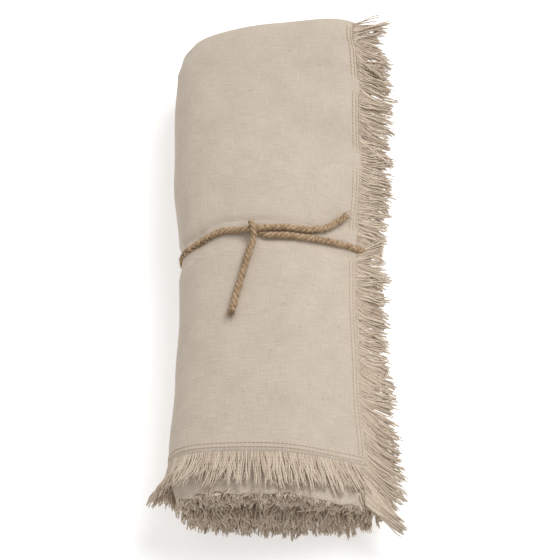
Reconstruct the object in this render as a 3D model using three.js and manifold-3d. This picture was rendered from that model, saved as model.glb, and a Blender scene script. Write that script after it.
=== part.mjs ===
// A fringed cotton tablecloth, folded in four along its length, rolled up and tied with jute twine.
// Millimetres, +Z up. The roll lies along Y on its flattened underside: its open end, with the fringe,
// faces -Y, its folded end faces +Y, and the cloth's free end lies over the right shoulder, towards +X.
import * as THREE from "three";
import { mergeVertices } from "three/addons/utils/BufferGeometryUtils.js";
import Module from "manifold-3d";

const wasm = await Module();
wasm.setup();

// Roll: a packet of four cloth layers wound into a flattened spiral.
const ROLL_LENGTH = 370; // from the far fold to the outer turn's near fold
const FAR_FOLD_Y = ROLL_LENGTH / 2; // the packet's folded edge at the far end
const HALF_WIDTH = 75; // of the outer turn
const HALF_HEIGHT = 38; // of the outer turn, before the sections below scale it
const PITCH = 4; // from one turn to the next
const PACKET = 3; // thickness of the four layers together
const HEMMED = 1.2; // thickness of the two layers that end in the fringed hem
const TONGUE = 1.15; // thickness of the two layers that end in a fold at the near end
const FOLD_ROUNDING = 1.5; // how far a folded edge is rounded back
const CORE_LEVEL = 5; // outer level of the packet where the winding starts
const FREE_END_DEG = 46; // where the cloth's free end lies, counted from +X towards +Z
const FLAT_FROM_DEG = 252; // the stretch of each turn that lies flat on the table
const FLAT_TO_DEG = 288;
const FINE_STEP_DEG = 9; // between stations on the outer turn
const MIDDLE_STEP_DEG = 18; // on the next turns
const COARSE_STEP_DEG = 36; // and near the core
const COARSE_BELOW_LEVEL = 28;
const SHOULDER_X = 66; // where the right shoulder's droop is complete

// The roll's section along its length: half-width and height, how far the top leans down to +X, and
// how far the right shoulder droops.
const SECTIONS = [
  { y: -192, halfWidth: 76.8, height: 63, lean: 0.15, droop: 0.18 },
  { y: -150, halfWidth: 75.8, height: 65, lean: 0.14, droop: 0.19 },
  { y: -90, halfWidth: 71.5, height: 68, lean: 0.12, droop: 0.2 },
  { y: -40, halfWidth: 69.9, height: 71, lean: 0.1, droop: 0.22 },
  { y: 12.5, halfWidth: 70.8, height: 73, lean: 0.08, droop: 0.23 },
  { y: 70, halfWidth: 75.9, height: 76, lean: 0.05, droop: 0.15 },
  { y: 130, halfWidth: 76.5, height: 79.5, lean: -0.02, droop: 0.03 },
  { y: 160, halfWidth: 74.9, height: 81.5, lean: -0.07, droop: -0.05 },
  { y: 176, halfWidth: 71.1, height: 82, lean: -0.11, droop: -0.09 },
  { y: 185, halfWidth: 65.8, height: 79.5, lean: -0.13, droop: -0.11 },
];

// The open end, turn by turn: where the fringe leaves the hem, and where the inner layers' fold lies.
const OPEN_END = [
  { deg: 41, hemY: -152, foldY: -185 },
  { deg: 90, hemY: -152, foldY: -182 },
  { deg: 130, hemY: -152, foldY: -181.5 },
  { deg: 200, hemY: -155, foldY: -182 },
  { deg: 290, hemY: -161, foldY: -175 },
  { deg: 460, hemY: -162, foldY: -173 },
];

// Fringe: yarns left at the cloth's edges, gathered into locks, each edge's on a narrow strip of hem.
const STRIP_WIDTH = 4;
const PARTING = 0.3; // clearance between the cloth, the strips and the twine
const END_PARTING = 0.72; // clearance between the cloth's free end and its strip
const FRINGE_LENGTH = 27;
const LOCK_WIDTH = 2.4;
const LOCK_TIP_SHARE = 0.55;
const LOCK_ROOT = 1.5; // how deep a lock is rooted in its strip
const END_LOCKS = 86; // along the free end
const OUTER_LOCKS = 74; // round the outer turn at the open end
const INNER_LOCKS = 72; // round the turns inside it
const END_LOCK_SPAN = 0.95; // millimetres that a lock of the free end runs for each degree it turns
const SIDE_FLARE = 12; // how far the open end's locks stand out at the roll's left side

// Twine: three-ply jute, once round the roll, with a half knot on top and two free ends.
const TWINE_Y = 12.5;
const TWINE_LEFT_SLANT = 9; // how far it slants towards -Y at the roll's left side
const TWINE_RADIUS = 2.5;
const TWINE_KNOT_SHARE = 0.76; // the twine is pulled thinner in its knot
const TWINE_LAY = 20; // length of one left-handed turn of the plies
const TWINE_PLIES = 3;
const TWINE_STEP = 2.9;
const TWINE_STEP_IN_KNOT = 1.6;
const TROUGH = { top: 2.5, side: 4.7, left: 1.8, floor: 2.5, wall: 14 }; // pressed into the cloth

// The twine's route off the loop: x, then the distance from TWINE_Y, then the height above the cloth.
const RIGHT_END_TO_LOOP = [
  { x: 50, dy: 21, lift: 3.3 },
  { x: 44, dy: 15, lift: 3.3 },
  { x: 35, dy: 8, lift: 3.2 },
  { x: 23, dy: 4, lift: 3.1 },
  { x: 10, dy: 2.6, lift: 3.2 },
  { x: 0, dy: 1.8, lift: 3.8 },
  { x: -8, dy: 0.6, lift: 5.4 },
  { x: -15, dy: -0.6, lift: 6.2 },
  { x: -23, dy: -0.5, lift: 4.9 },
  { x: -31, dy: -0.2, lift: 3.4 },
  { x: -38, dy: 0, lift: 3.1 },
];
const LOOP_TO_LOWER_END = [
  { x: 40, dy: -0.8, lift: 3.3 },
  { x: 30, dy: -1.8, lift: 3.2 },
  { x: 20, dy: -2.8, lift: 3.1 },
  { x: 9, dy: -3.6, lift: 3.1 },
  { x: -1, dy: -4.2, lift: 3 },
  { x: -8, dy: -3.7, lift: 2.6 },
  { x: -12.5, dy: -0.8, lift: 2.2 },
  { x: -15.4, dy: 2.6, lift: 3.5 },
  { x: -17, dy: 3.6, lift: 6.5 },
  { x: -16.8, dy: 2, lift: 9.3 },
  { x: -15.8, dy: -1.2, lift: 10.2 },
  { x: -14.9, dy: -5, lift: 8.4 },
  { x: -15.1, dy: -8, lift: 5.6 },
  { x: -16.2, dy: -11.6, lift: 3.8 },
  { x: -18.2, dy: -17.6, lift: 3.1 },
  { x: -21.6, dy: -29.5, lift: 3.1 },
  { x: -25.2, dy: -43, lift: 3.1 },
  { x: -28.3, dy: -55, lift: 3.1 },
  { x: -30.5, dy: -64, lift: 3.1 },
];

// Materials
const COTTON = new THREE.MeshStandardMaterial({ color: 0xcdbfae, roughness: 0.95, metalness: 0 });
const FRINGE_COTTON = new THREE.MeshStandardMaterial({ color: 0xc8b8a4, roughness: 0.95, metalness: 0 });
const JUTE = new THREE.MeshStandardMaterial({ color: 0xa98b62, roughness: 0.9, metalness: 0 });

const CORE_HALF_WIDTH = HALF_WIDTH - HALF_HEIGHT;
const FLAT_SHARE = 1 / Math.abs(Math.sin(THREE.MathUtils.degToRad(FLAT_FROM_DEG)));
const FLAT_DEG = FLAT_TO_DEG - FLAT_FROM_DEG;

// A column of a table at some key, eased from row to row.
function fromTable(table, key, column, at) {
  const last = table.length - 1;
  if (at <= table[0][key]) return table[0][column];
  if (at >= table[last][key]) return table[last][column];
  const i = table.findIndex((row) => row[key] > at) - 1;
  const [a, b] = [table[i], table[i + 1]];
  return THREE.MathUtils.lerp(a[column], b[column], THREE.MathUtils.smoothstep(at, a[key], b[key]));
}

// Turns wound by an angle. The count stands still where the cloth lies flat, so that it lies level.
function turnsAt(deg) {
  const whole = Math.floor(deg / 360);
  const part = deg - 360 * whole;
  const winding = part - THREE.MathUtils.clamp(part - FLAT_FROM_DEG, 0, FLAT_DEG);
  return whole + winding / (360 - FLAT_DEG);
}

// The level of the packet's outer face: its distance from the roll's flat core.
function outerLevel(deg) {
  return HALF_HEIGHT - PITCH * (turnsAt(deg) - turnsAt(FREE_END_DEG));
}

const FLOOR_LEVEL = outerLevel((FLAT_FROM_DEG + FLAT_TO_DEG) / 2);
const NOMINAL_HEIGHT = outerLevel(90) + FLOOR_LEVEL;

// Where the twine lies along the roll at an angle.
function twineY(deg) {
  const turned = THREE.MathUtils.euclideanModulo(deg, 360);
  const { smoothstep } = THREE.MathUtils;
  return TWINE_Y - TWINE_LEFT_SLANT * smoothstep(turned, 113, 150) * (1 - smoothstep(turned, 200, 330));
}

// How deep the twine has pressed the outer turn in, at an angle and a place along the roll.
function troughDepth(deg, y) {
  const angle = THREE.MathUtils.degToRad(deg);
  const atLeft = TROUGH.left * Math.max(0, -Math.cos(angle));
  const deepest = TROUGH.side - (TROUGH.side - TROUGH.top) * Math.sin(angle) + atLeft;
  const away = Math.abs(y - twineY(deg));
  return deepest * THREE.MathUtils.clamp((TROUGH.wall - away) / (TROUGH.wall - TROUGH.floor), 0, 1);
}

// A point of the roll: round the section by angle, out from the core by level, along it by y.
function place(deg, level, y) {
  const angle = THREE.MathUtils.degToRad(deg);
  const across = Math.cos(angle);
  const upward = Math.sin(angle);
  const pressed = level - troughDepth(deg, y) * (level / HALF_HEIGHT) ** 2;
  const widthShare = fromTable(SECTIONS, "y", "halfWidth", y) / HALF_WIDTH;
  const heightShare = fromTable(SECTIONS, "y", "height", y) / NOMINAL_HEIGHT;
  const lean = fromTable(SECTIONS, "y", "lean", y);
  const x = (CORE_HALF_WIDTH * (1.5 * across - 0.5 * across ** 3) + pressed * across) * widthShare;
  const z = pressed * Math.max(-1, upward < 0 ? upward * FLAT_SHARE : upward);
  const droop = fromTable(SECTIONS, "y", "droop", y) * THREE.MathUtils.smoothstep(x, 0, SHOULDER_X);
  return new THREE.Vector3(x, y, (z + FLOOR_LEVEL) * heightShare * (1 - (lean * x) / HALF_WIDTH - droop));
}

// Millimetres along the section for each degree, at an angle.
function spanPerDegree(deg, level, y) {
  return place(deg + 0.5, level, y).distanceTo(place(deg - 0.5, level, y));
}

// Seeded numbers from 0 to 1, so that the fringe is uneven in the same way each time.
function seededNumbers(seed) {
  let state = seed;
  return () => {
    state = (state * 1664525 + 1013904223) % 4294967296;
    return state / 4294967296;
  };
}

// A closed solid through rings of points, each with as many points. Each end is filled from its first
// point on, rung by rung between the way out along the ring and the way back.
function loft(rings) {
  const count = rings[0].length;
  const position = rings.flat().flatMap((p) => [p.x, p.y, p.z]);
  const index = [];
  for (let r = 0; r + 1 < rings.length; r++) {
    for (let k = 0; k < count; k++) {
      const [a, b] = [r * count + k, r * count + ((k + 1) % count)];
      index.push(a, b, a + count, b, b + count, a + count);
    }
  }
  const ends = [[0, 1, count - 1]];
  for (let k = 1; k < count - k - 1; k++) {
    ends.push([k, k + 1, count - k]);
    if (k + 1 < count - k - 1) ends.push([k + 1, count - k - 1, count - k]);
  }
  const lastRing = (rings.length - 1) * count;
  for (const [a, b, c] of ends) {
    index.push(a, c, b, lastRing + a, lastRing + b, lastRing + c);
  }
  const geometry = new THREE.BufferGeometry();
  geometry.setAttribute("position", new THREE.Float32BufferAttribute(position, 3));
  geometry.setIndex(index);
  return geometry;
}

// A closed geometry as a solid, with its faces turned outwards.
function toSolid(geometry) {
  const merged = mergeVertices(geometry, 1e-4);
  const solidOf = (triVerts) =>
    new wasm.Manifold(
      new wasm.Mesh({ numProp: 3, vertProperties: merged.attributes.position.array, triVerts }),
    );
  const solid = solidOf(new Uint32Array(merged.index.array));
  return solid.volume() > 0 ? solid : solidOf(new Uint32Array(merged.index.array).reverse());
}

function toGeometry(solid) {
  const { numProp, vertProperties, triVerts } = solid.getMesh();
  const geometry = new THREE.BufferGeometry();
  geometry.setAttribute("position", new THREE.BufferAttribute(vertProperties.slice(), numProp));
  geometry.setIndex(new THREE.BufferAttribute(triVerts.slice(), 1));
  geometry.computeVertexNormals();
  return geometry;
}

// Angles of the winding, from the free end to the core, closer together on the outer turn.
function windingStations() {
  const stations = [FREE_END_DEG];
  for (;;) {
    const last = stations.at(-1);
    const inOuterTurn = last < FREE_END_DEG + 360;
    const nearCore = outerLevel(last) < COARSE_BELOW_LEVEL;
    const step = inOuterTurn ? FINE_STEP_DEG : nearCore ? COARSE_STEP_DEG : MIDDLE_STEP_DEG;
    const next = step * (Math.floor(last / step + 1e-6) + 1);
    if (outerLevel(next) < CORE_LEVEL) return stations;
    stations.push(next);
  }
}

const STATIONS = windingStations();
const hemAt = (deg) => fromTable(OPEN_END, "deg", "hemY", deg);
const foldAt = (deg) => fromTable(OPEN_END, "deg", "foldY", deg);

// Places along the roll where its surface bends: its far shoulder, the twine's trough and its waist.
function rowsAt(deg) {
  const trough = [TROUGH.wall, TROUGH.floor, -TROUGH.floor, -TROUGH.wall].map((away) => twineY(deg) + away);
  return [FAR_FOLD_Y - FOLD_ROUNDING, 176, 160, 130, 70, ...trough, -45, -100];
}

// The packet lengthwise at one station, as pairs of y and depth below its outer face. The layers run
// back from the far fold: two end at the hem's strip, and two go on to their own fold.
function packetProfile(deg) {
  const hemY = hemAt(deg) + STRIP_WIDTH + PARTING;
  const foldY = foldAt(deg);
  const hemmedSide = rowsAt(deg).map((y) => ({ y, depth: 0 }));
  const innerSide = rowsAt(deg).reverse().map((y) => ({ y, depth: PACKET }));
  return [
    { y: FAR_FOLD_Y, depth: PACKET / 2 },
    ...hemmedSide,
    { y: hemY, depth: 0 },
    { y: hemY, depth: PACKET - TONGUE },
    { y: foldY + FOLD_ROUNDING, depth: PACKET - TONGUE },
    { y: foldY, depth: PACKET - TONGUE / 2 },
    { y: foldY + FOLD_ROUNDING, depth: PACKET },
    { y: hemY + TONGUE, depth: PACKET },
    ...innerSide,
  ];
}

function makeCloth() {
  const rings = STATIONS.map((deg) =>
    packetProfile(deg).map(({ y, depth }) => place(deg, outerLevel(deg) - depth, y)),
  );
  return toSolid(loft(rings));
}

// The strip of hem that winds round the open end.
function nearStrip() {
  const corners = [
    { width: 0, depth: 0 },
    { width: STRIP_WIDTH, depth: 0 },
    { width: STRIP_WIDTH, depth: HEMMED },
    { width: 0, depth: HEMMED },
  ];
  const rings = STATIONS.map((deg) =>
    corners.map(({ width, depth }) => place(deg, outerLevel(deg) - depth, hemAt(deg) + width)),
  );
  return toSolid(loft(rings));
}

// A lock's three sides: the share of its half-width, and of its thickness.
const LOCK_CORNERS = [
  { side: -1, up: 0 },
  { side: 1, up: 0 },
  { side: 0, up: 1 },
];

// A point of the winding between two stations, some depth below the packet's outer face.
function onWinding(deg, depth, y) {
  const past = STATIONS.findIndex((station) => station > deg);
  const i = past < 1 ? STATIONS.length - 2 : past - 1;
  const [a, b] = [STATIONS[i], STATIONS[i + 1]];
  const from = place(a, outerLevel(a) - depth, y);
  return from.lerp(place(b, outerLevel(b) - depth, y), (deg - a) / (b - a));
}

// A lock that runs out of the open end at an angle. Its three sides narrow towards the tip.
function nearLock(deg, length, drift) {
  const level = outerLevel(deg);
  const { smoothstep } = THREE.MathUtils;
  const flare = SIDE_FLARE * smoothstep(deg, 115, 165) * (1 - smoothstep(deg, 180, 205));
  const rings = [-LOCK_ROOT, 0.5 * length, length].map((along) => {
    const share = Math.max(0, along) / length;
    const halfWidth = (LOCK_WIDTH / 2) * THREE.MathUtils.lerp(1, LOCK_TIP_SHARE, share);
    const y = hemAt(deg) - along;
    const perDegree = spanPerDegree(deg, level, y);
    return LOCK_CORNERS.map(({ side, up }) => {
      const turned = deg + (side * halfWidth + drift * share ** 2) / perDegree;
      return onWinding(turned, HEMMED * THREE.MathUtils.lerp(0.92, 0.12, up) - flare * share ** 2, y);
    });
  });
  return toSolid(loft(rings));
}

// Angles spaced evenly along the hem from one angle to another.
function anglesAlongHem(fromDeg, toDeg, count) {
  const total = [0];
  const angles = [fromDeg];
  for (let deg = fromDeg; deg < toDeg; deg += 1) {
    total.push(total.at(-1) + spanPerDegree(deg + 0.5, outerLevel(deg + 0.5), hemAt(deg)));
    angles.push(deg + 1);
  }
  return Array.from({ length: count }, (_, k) => {
    const wanted = ((k + 0.5) / count) * total.at(-1);
    const i = Math.max(1, total.findIndex((t) => t >= wanted));
    return THREE.MathUtils.mapLinear(wanted, total[i - 1], total[i], angles[i - 1], angles[i]);
  });
}

// Whether a lock lies flat on the hem at an angle, clear of the bends in the winding.
function liesFlat(deg) {
  const reach = (0.75 * LOCK_WIDTH) / spanPerDegree(deg, outerLevel(deg), hemAt(deg));
  return STATIONS.every((station) => Math.abs(station - deg) > reach);
}

function makeNearFringe() {
  const number = seededNumbers(11);
  const outerTurnEnd = FREE_END_DEG + 355;
  const angles = [
    ...anglesAlongHem(FREE_END_DEG + 2, outerTurnEnd, OUTER_LOCKS),
    ...anglesAlongHem(outerTurnEnd + 6, STATIONS.at(-1) - 12, INNER_LOCKS).filter(liesFlat),
  ];
  return angles.reduce((fringe, deg) => {
    const length = FRINGE_LENGTH * THREE.MathUtils.lerp(0.88, 1.04, number());
    return fringe.add(nearLock(deg, length, THREE.MathUtils.lerp(-0.6, 0.6, number())));
  }, nearStrip());
}

// The free end's strip of hem, along the roll just past the end of the cloth.
const END_SPAN = spanPerDegree(FREE_END_DEG, HALF_HEIGHT, 0);
const END_FROM_DEG = FREE_END_DEG - END_PARTING / END_SPAN;
const END_TO_DEG = END_FROM_DEG - STRIP_WIDTH / END_SPAN;
const END_NEAR_Y = OPEN_END[0].foldY + FOLD_ROUNDING;

function endStrip() {
  const corners = [
    { deg: END_FROM_DEG, depth: 0.1 },
    { deg: END_TO_DEG, depth: 0.1 },
    { deg: END_TO_DEG, depth: PACKET - PARTING },
    { deg: END_FROM_DEG, depth: PACKET - PARTING },
  ];
  const rings = [...rowsAt(FREE_END_DEG), hemAt(FREE_END_DEG) + STRIP_WIDTH + PARTING, END_NEAR_Y].map((y) =>
    corners.map(({ deg, depth }) => place(deg, HALF_HEIGHT - depth, y)),
  );
  return toSolid(loft(rings));
}

// The free end's locks along the roll: how far each slants towards -Y for each millimetre it runs,
// how far its tip stands off the roll, its share of the fringe's length and how far it falls.
const END_FRINGE = [
  { y: -185, slant: 0.02, lift: 17, length: 1.12, fall: 1 },
  { y: -160, slant: 0.26, lift: 15, length: 1.08, fall: 1 },
  { y: -70, slant: 0.06, lift: 14, length: 1.05, fall: 1 },
  { y: 100, slant: 0, lift: 13, length: 1.02, fall: 1 },
  { y: 150, slant: -0.12, lift: 16, length: 1.02, fall: 0.9 },
  { y: 185, slant: -0.3, lift: 27, length: 1.1, fall: 0.4 },
];

// A lock that falls from the free end over the roll's right shoulder.
function endLock(y, length, drift) {
  const slant = fromTable(END_FRINGE, "y", "slant", y) + drift;
  const lift = fromTable(END_FRINGE, "y", "lift", y);
  const fall = fromTable(END_FRINGE, "y", "fall", y);
  const straight = length / Math.hypot(1, slant);
  const rings = [-LOCK_ROOT, 0.45 * straight, straight].map((along) => {
    const share = Math.max(0, along) / straight;
    const halfWidth = (LOCK_WIDTH / 2) * THREE.MathUtils.lerp(1, LOCK_TIP_SHARE, share);
    const deg = END_TO_DEG - (fall * along) / END_LOCK_SPAN;
    const middle = HALF_HEIGHT - PACKET / 2 + lift * share ** 2;
    return LOCK_CORNERS.map(({ side, up }) =>
      place(deg, middle + (up - 0.5) * HEMMED, y - slant * Math.max(0, along) + side * halfWidth),
    );
  });
  return toSolid(loft(rings));
}

function makeEndFringe() {
  const number = seededNumbers(5);
  const farthest = FAR_FOLD_Y - FOLD_ROUNDING - LOCK_WIDTH / 2;
  const nearest = END_NEAR_Y + LOCK_WIDTH / 2;
  let fringe = endStrip();
  for (let k = 0; k < END_LOCKS; k++) {
    const y = THREE.MathUtils.lerp(farthest, nearest, k / (END_LOCKS - 1));
    const uneven = THREE.MathUtils.lerp(0.88, 1.04, number());
    const length = FRINGE_LENGTH * fromTable(END_FRINGE, "y", "length", y) * uneven;
    const drift = THREE.MathUtils.lerp(-0.03, 0.03, number());
    const underTwine = Math.abs(y - TWINE_Y) < TWINE_RADIUS + LOCK_WIDTH;
    if (!underTwine) fringe = fringe.add(endLock(y, length, drift));
  }
  return fringe;
}

// The outer surface under the twine at an angle. Past the free end it eases up onto the end's strip.
const EASE_FROM_DEG = 372;
function twineBed(deg) {
  const up = THREE.MathUtils.smoothstep(deg, EASE_FROM_DEG, END_TO_DEG + 358);
  const level = THREE.MathUtils.lerp(outerLevel(Math.min(deg, END_TO_DEG + 360)), HALF_HEIGHT, up);
  return place(deg, deg > EASE_FROM_DEG ? level : outerLevel(deg), twineY(deg));
}

// A point of the loop: a twine's radius off the bed, square to it.
function loopPoint(deg) {
  const bed = twineBed(deg);
  const along = twineBed(deg + 1).sub(twineBed(deg - 1)).normalize();
  const outward = new THREE.Vector3(along.z, 0, -along.x).normalize();
  return bed.addScaledVector(outward, TWINE_RADIUS + PARTING + 0.1);
}

// The angle on the top of the outer turn that lies at some x.
function angleAtX(x, y) {
  let [low, high] = [FREE_END_DEG, 180];
  for (let k = 0; k < 40; k++) {
    const middle = (low + high) / 2;
    if (place(middle, outerLevel(middle), y).x > x) low = middle;
    else high = middle;
  }
  return low;
}

function routePoint({ x, dy, lift }) {
  const y = TWINE_Y + dy;
  const deg = angleAtX(x, y);
  const point = place(deg, outerLevel(deg), y);
  point.z += lift;
  return point;
}

// The twine's middle line: from the right end through the knot, round the roll and to the lower end.
function twineRoute() {
  const loop = [];
  const loopFrom = angleAtX(RIGHT_END_TO_LOOP.at(-1).x, TWINE_Y) + 8;
  const loopTo = angleAtX(LOOP_TO_LOWER_END[0].x, TWINE_Y) + 352;
  const loopSteps = 40;
  for (let k = 0; k <= loopSteps; k++) {
    loop.push(loopPoint(THREE.MathUtils.lerp(loopFrom, loopTo, k / loopSteps)));
  }
  const ends = [RIGHT_END_TO_LOOP.map(routePoint), LOOP_TO_LOWER_END.map(routePoint)];
  return new THREE.CatmullRomCurve3([...ends[0], ...loop, ...ends[1]], false, "centripetal");
}

// One ply's share of the twine's section: its back, with a hollow to each side between the plies.
const PLY_POINTS = [
  { turn: -40, share: 0.84 },
  { turn: 0, share: 1 },
  { turn: 40, share: 0.84 },
];

// The twine's section at some turn of its plies, of radius 1.
function twineOutline(turnDeg) {
  const points = [];
  for (let ply = 0; ply < TWINE_PLIES; ply++) {
    for (const { turn, share } of PLY_POINTS) {
      const angle = THREE.MathUtils.degToRad(turnDeg + turn + (360 / TWINE_PLIES) * ply);
      points.push(new THREE.Vector2(share * Math.cos(angle), share * Math.sin(angle)));
    }
  }
  return points;
}

// How tightly the twine is pulled at a point: 1 in the middle of the knot, 0 away from it.
function pulledInKnot(point) {
  const knot = routePoint({ x: -15.5, dy: 0, lift: 7 });
  return 1 - THREE.MathUtils.smoothstep(point.distanceTo(knot), 8, 18);
}

function makeTwine() {
  const route = twineRoute();
  const fine = route.getSpacedPoints(1200);
  const spacing = route.getLength() / 1200;
  const kept = [0];
  for (let i = 1; i < fine.length - 1; i++) {
    const step = THREE.MathUtils.lerp(TWINE_STEP, TWINE_STEP_IN_KNOT, pulledInKnot(fine[i]));
    if ((i - kept.at(-1)) * spacing >= step) kept.push(i);
  }
  kept.push(fine.length - 1);
  const tangentAt = (i) =>
    fine[Math.min(i + 1, fine.length - 1)].clone().sub(fine[Math.max(i - 1, 0)]).normalize();
  let side = new THREE.Vector3(0, 0, 1);
  let previous = tangentAt(0);
  const rings = kept.map((i) => {
    const tangent = tangentAt(i);
    side.applyQuaternion(new THREE.Quaternion().setFromUnitVectors(previous, tangent));
    side.addScaledVector(tangent, -side.dot(tangent)).normalize();
    previous = tangent;
    const other = new THREE.Vector3().crossVectors(tangent, side);
    const radius = TWINE_RADIUS * THREE.MathUtils.lerp(1, TWINE_KNOT_SHARE, pulledInKnot(fine[i]));
    const turn = (-360 * i * spacing) / TWINE_LAY;
    return twineOutline(turn).map((p) =>
      fine[i].clone().addScaledVector(side, radius * p.x).addScaledVector(other, radius * p.y),
    );
  });
  return toSolid(loft(rings));
}

// The whole part, with its origin on the table under the middle of the cloth and its fringe.
function addPiece(group, name, solid, material) {
  const mesh = new THREE.Mesh(toGeometry(solid), material);
  mesh.name = name;
  group.add(mesh);
}

const roll = new THREE.Group();
addPiece(roll, "cloth", makeCloth(), COTTON);
addPiece(roll, "fringe_open_end", makeNearFringe(), FRINGE_COTTON);
addPiece(roll, "fringe_free_end", makeEndFringe(), FRINGE_COTTON);
const middle = new THREE.Box3().setFromObject(roll).getCenter(new THREE.Vector3());
addPiece(roll, "twine", makeTwine(), JUTE);
roll.position.set(-middle.x, -middle.y, 0);

const tablecloth = new THREE.Group();
tablecloth.add(roll);

export default tablecloth;
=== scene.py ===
import math

import bpy
import numpy as np
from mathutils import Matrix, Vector


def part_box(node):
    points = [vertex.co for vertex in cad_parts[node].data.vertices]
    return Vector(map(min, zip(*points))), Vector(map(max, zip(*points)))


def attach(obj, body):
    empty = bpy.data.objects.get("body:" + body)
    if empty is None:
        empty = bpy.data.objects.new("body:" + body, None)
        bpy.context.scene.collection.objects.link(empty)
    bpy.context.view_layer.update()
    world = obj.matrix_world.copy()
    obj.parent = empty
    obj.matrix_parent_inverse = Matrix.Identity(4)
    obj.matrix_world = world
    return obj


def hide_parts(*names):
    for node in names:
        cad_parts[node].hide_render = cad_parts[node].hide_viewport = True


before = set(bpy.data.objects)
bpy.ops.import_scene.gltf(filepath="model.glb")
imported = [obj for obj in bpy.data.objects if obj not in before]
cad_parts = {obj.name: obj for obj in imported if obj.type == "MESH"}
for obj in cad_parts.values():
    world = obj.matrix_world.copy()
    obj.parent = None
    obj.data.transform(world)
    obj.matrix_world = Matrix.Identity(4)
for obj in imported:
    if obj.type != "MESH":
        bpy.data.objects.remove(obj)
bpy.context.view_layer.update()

# Sizes in millimetres, in the roll's own frame, as in the part's source
FAR_FOLD_Y = 185.0
HALF_WIDTH = 75.0
HALF_HEIGHT = 38.0
PITCH = 4.0
CORE_LEVEL = 5.0
FREE_EDGE_DEG = 41.0
FREE_END_DEG = 46.0
FLAT_FROM_DEG = 252.0
FLAT_TO_DEG = 288.0
TWINE_Y = 12.5
TWINE_LEFT_SLANT = 9.0
TWINE_RADIUS = 2.5
TWINE_KNOT_SHARE = 0.9
TWINE_LAY = 12.0
TWINE_PLIES = 3
TROUGH_TOP = 2.5
TROUGH_SIDE = 4.7
TROUGH_LEFT = 1.8
TROUGH_FLOOR = 2.5
TROUGH_WALL = 14.0
FRINGE_LENGTH = 27.0
OPEN_FRINGE_LENGTH = 24.5
END_LOCK_SPAN = 0.95
CLOTH_THICKNESS = 0.5

# Along the roll: y, half-width, height, lean of the top down to +X, droop of the right shoulder
SECTIONS = [
    (-192, 76.8, 63.0, 0.15, 0.18),
    (-150, 75.8, 65.0, 0.14, 0.19),
    (-90, 71.5, 68.0, 0.12, 0.20),
    (-40, 69.9, 71.0, 0.10, 0.22),
    (12.5, 70.8, 73.0, 0.08, 0.23),
    (70, 75.9, 76.0, 0.05, 0.15),
    (130, 76.5, 79.5, -0.02, 0.03),
    (160, 74.9, 81.5, -0.07, -0.05),
    (176, 71.1, 82.0, -0.11, -0.09),
    (185, 65.8, 79.5, -0.13, -0.11),
]
WIDEST = 76.5
SQUARE_FROM_Y = 171.0
SHOULDER_X = 66.0

# The open end by angle: degrees, y of the fringed hem, y of the inner layers' fold
OPEN_END = [
    (41, -156, -182),
    (90, -156, -180),
    (130, -156, -180),
    (200, -158, -181),
    (290, -164, -175),
    (460, -164, -173),
]

# The free end's fringe along the roll: y, slant towards -Y, lift of the tips, share of the length, fall
END_FRINGE = [
    (-185, 0.50, 17.0, 1.30, 1.0),
    (-162, 0.95, 16.0, 1.32, 1.0),
    (-140, 0.75, 15.0, 1.18, 1.0),
    (-105, 0.45, 14.0, 1.08, 1.0),
    (-50, 0.20, 14.0, 1.06, 1.0),
    (60, 0.08, 13.0, 1.04, 1.0),
    (120, 0.16, 14.0, 1.05, 1.0),
    (160, 0.20, 16.0, 1.05, 0.9),
    (177, 0.05, 17.0, 1.05, 0.8),
    (185, -0.25, 17.0, 1.08, 0.7),
]

# How far the open end's yarns lean along the hem, by angle
COMB = [
    (41, -24),
    (56, -14),
    (75, -7),
    (95, -1),
    (112, 5),
    (140, 10),
    (170, 6),
    (200, 0),
]

# The four layers of the packet: name, depth of the layer's middle below the packet's outer face
LAYER_DEPTH = {"a": 0.30, "b": 1.05, "c": 1.85, "d": 2.65}

# The twine's route off the loop: x, distance from TWINE_Y, height above the cloth
RIGHT_END_TO_LOOP = [
    (50, 21, 3.3),
    (44, 15, 3.3),
    (35, 8, 3.2),
    (23, 4, 3.1),
    (10, 2.6, 3.2),
    (0, 1.8, 3.8),
    (-8, 0.6, 5.4),
    (-15, -0.6, 6.2),
    (-23, -0.5, 4.9),
    (-31, -0.2, 3.4),
    (-38, 0, 3.1),
]
LOOP_TO_LOWER_END = [
    (40, -0.8, 3.3),
    (30, -1.8, 3.2),
    (20, -2.8, 3.1),
    (9, -3.6, 3.1),
    (-1, -4.2, 3),
    (-8, -3.7, 2.6),
    (-12.5, -0.8, 2.2),
    (-15.4, 2.6, 3.5),
    (-17, 3.6, 6.5),
    (-16.8, 2, 9.3),
    (-15.8, -1.2, 10.2),
    (-14.9, -5, 8.4),
    (-15.1, -8, 5.6),
    (-16.2, -11.6, 3.8),
    (-18.2, -17.6, 3.1),
    (-21.6, -29.5, 3.1),
    (-25.2, -43, 3.1),
    (-28.3, -55, 3.1),
    (-30.5, -64, 3.1),
]

CORE_HALF_WIDTH = HALF_WIDTH - HALF_HEIGHT
FLAT_DEG = FLAT_TO_DEG - FLAT_FROM_DEG
FLAT_SHARE = 1 / abs(math.sin(math.radians(FLAT_FROM_DEG)))
MM = 0.001


# Shapes of the roll

def ease(t):
    t = np.clip(t, 0.0, 1.0)
    return t * t * (3 - 2 * t)


def from_table(table, column, at):
    rows = np.array(table, float)
    keys = rows[:, 0]
    at = np.clip(at, keys[0], keys[-1])
    i = np.clip(np.searchsorted(keys, at, side="right") - 1, 0, len(keys) - 2)
    t = ease((at - keys[i]) / (keys[i + 1] - keys[i]))
    return rows[i, column] * (1 - t) + rows[i + 1, column] * t


def turns_at(deg):
    whole = np.floor(np.asarray(deg, float) / 360)
    part = deg - 360 * whole
    winding = part - np.clip(part - FLAT_FROM_DEG, 0, FLAT_DEG)
    return whole + winding / (360 - FLAT_DEG)


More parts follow.
